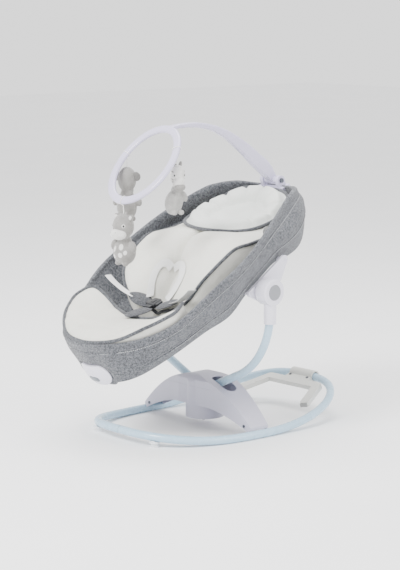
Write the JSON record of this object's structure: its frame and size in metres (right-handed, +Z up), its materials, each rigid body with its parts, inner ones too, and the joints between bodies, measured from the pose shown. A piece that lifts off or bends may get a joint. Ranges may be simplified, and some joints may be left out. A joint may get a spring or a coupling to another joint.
{
  "type": "baby swing",
  "caption": "Baby swing: padded grey seat tub with harness on a U-shaped arm over a motor hub and rocker ring, with a folding toy bar and hanging plush toys.",
  "frame": {"origin": "on the floor, under the middle of the whole object", "axes": "+X to the near side with the visible recline button, -Y to the foot end, +Z up"},
  "size_m": [0.557, 0.8143, 0.8224],
  "materials": {
    "tube": "satin",
    "hub_shell": "satin",
    "white_plastic": "gloss",
    "grey_plastic": "satin",
    "warm_plastic": "satin",
    "dark_plastic": "satin",
    "rubber_pad": "matte",
    "foot_rubber": "matte",
    "steel": "satin",
    "zinc_screw": "satin",
    "motor_case": "satin",
    "gear_resin": "satin",
    "board": "satin",
    "melange_fabric": "woven",
    "liner_fabric": "woven",
    "cover_fabric": "woven",
    "webbing": "woven",
    "battery_cell": "satin",
    "toy_grey": "plush",
    "toy_light": "plush"
  },
  "bodies": {
    "base": {"base_tube_left": "tube", "base_tube_right": "tube", "front_feet": "foot_rubber", "hub_housing": "hub_shell", "hub_cover": "hub_shell", "hub_base_plate": "hub_shell", "hub_screws": "zinc_screw", "drive_motor": "motor_case", "shaft_bearings": "steel", "circuit_board": "board", "power_inlet": "dark_plastic"},
    "swing": {"swing_shaft": "steel", "sector_gear": "gear_resin", "arm_yoke": "steel", "swing_arm_tube": "tube", "arm_socket_left": "white_plastic", "arm_socket_right": "white_plastic", "release_spring_left": "steel", "release_spring_right": "steel"},
    "pinion": {"motor_pinion": "gear_resin"},
    "release_left": {"release_button_left": "grey_plastic"},
    "release_right": {"release_button_right": "grey_plastic"},
    "seat": {"seat_frame_foot": "steel", "seat_frame_head": "steel", "seat_bracket_left": "white_plastic", "seat_bracket_right": "white_plastic", "bracket_screws": "zinc_screw", "seat_tub": "melange_fabric", "foot_pad": "liner_fabric", "back_pad": "liner_fabric", "head_pillow": "liner_fabric", "waist_cover_left": "cover_fabric", "waist_cover_right": "cover_fabric", "crotch_cover": "cover_fabric", "harness_buckle": "dark_plastic", "waist_strap_left": "webbing", "waist_strap_right": "webbing", "shoulder_strap_left": "webbing", "shoulder_strap_right": "webbing", "pod_base": "grey_plastic", "pod_shell": "white_plastic", "pod_board": "board", "pod_speaker": "dark_plastic", "pod_battery": "battery_cell", "toy_bar_mount": "white_plastic", "toy_bar_pin": "zinc_screw"},
    "pod_key": {"pod_button": "grey_plastic"},
    "toy_bar": {"toy_bar_arm": "white_plastic", "toy_ring": "white_plastic"},
    "toy_a": {"toy_string_a": "webbing", "toy_elephant": "toy_grey"},
    "toy_b": {"toy_string_b": "webbing", "toy_giraffe": "toy_grey"},
    "toy_c": {"toy_string_c": "webbing", "toy_zebra": "toy_light"},
    "stabiliser": {"stabiliser_bar": "warm_plastic", "stabiliser_pads": "rubber_pad", "stabiliser_screws": "zinc_screw"}
  },
  "joints": [
    {"name": "swing_yaw", "type": "hinge", "parent": "base", "child": "swing", "pos_m": [0, 0.014, 0.09], "axis": [0, 0, 1], "range_deg": [-6, 6]},
    {"name": "pinion_turn", "type": "hinge", "parent": "base", "child": "pinion", "pos_m": [0, 0.05015, 0.05], "axis": [0, 0, 1], "range_deg": [-22, 22]},
    {"name": "release_left_press", "type": "slide", "parent": "swing", "child": "release_left", "axis": [1, 0, 0], "range_m": [0, 0.004], "stiffness_N_per_m": 900, "springref_m": -0.002, "deforming": ["release_spring_left"]},
    {"name": "release_right_press", "type": "slide", "parent": "swing", "child": "release_right", "axis": [-1, 0, 0], "range_m": [0, 0.004], "stiffness_N_per_m": 900, "springref_m": -0.002, "deforming": ["release_spring_right"]},
    {"name": "seat_recline", "type": "hinge", "parent": "swing", "child": "seat", "pos_m": [0, 0.014, 0.394], "axis": [1, 0, 0], "range_deg": [-12, 12]},
    {"name": "pod_button_press", "type": "slide", "parent": "seat", "child": "pod_key", "axis": [0, 0.8192, 0.5736], "range_m": [0, 0.0012], "stiffness_N_per_m": 600, "springref_m": -0.001},
    {"name": "toy_bar_fold", "type": "hinge", "parent": "seat", "child": "toy_bar", "pos_m": [0, 0.26, 0.652], "axis": [1, 0, 0], "range_deg": [-90, 0]},
    {"name": "toy_a_swing", "type": "hinge", "parent": "toy_bar", "child": "toy_a", "pos_m": [-0.09659, -0.17487, 0.7296], "axis": [1, 0, 0], "range_deg": [-14, 30]},
    {"name": "toy_b_swing", "type": "hinge", "parent": "toy_bar", "child": "toy_b", "pos_m": [0.00349, -0.26788, 0.61876], "axis": [1, 0, 0], "range_deg": [-30, 30]},
    {"name": "toy_c_swing", "type": "hinge", "parent": "toy_bar", "child": "toy_c", "pos_m": [0.0866, -0.15704, 0.75085], "axis": [1, 0, 0], "range_deg": [-18, 30]},
    {"name": "stabiliser_fold", "type": "hinge", "parent": "base", "child": "stabiliser", "pos_m": [0, 0.39, 0.087], "axis": [1, 0, 0], "range_deg": [0, 19]}
  ],
  "couplings": [
    {"joint": "pinion_turn", "follows": "swing_yaw", "ratio": -3.5}
  ]
}
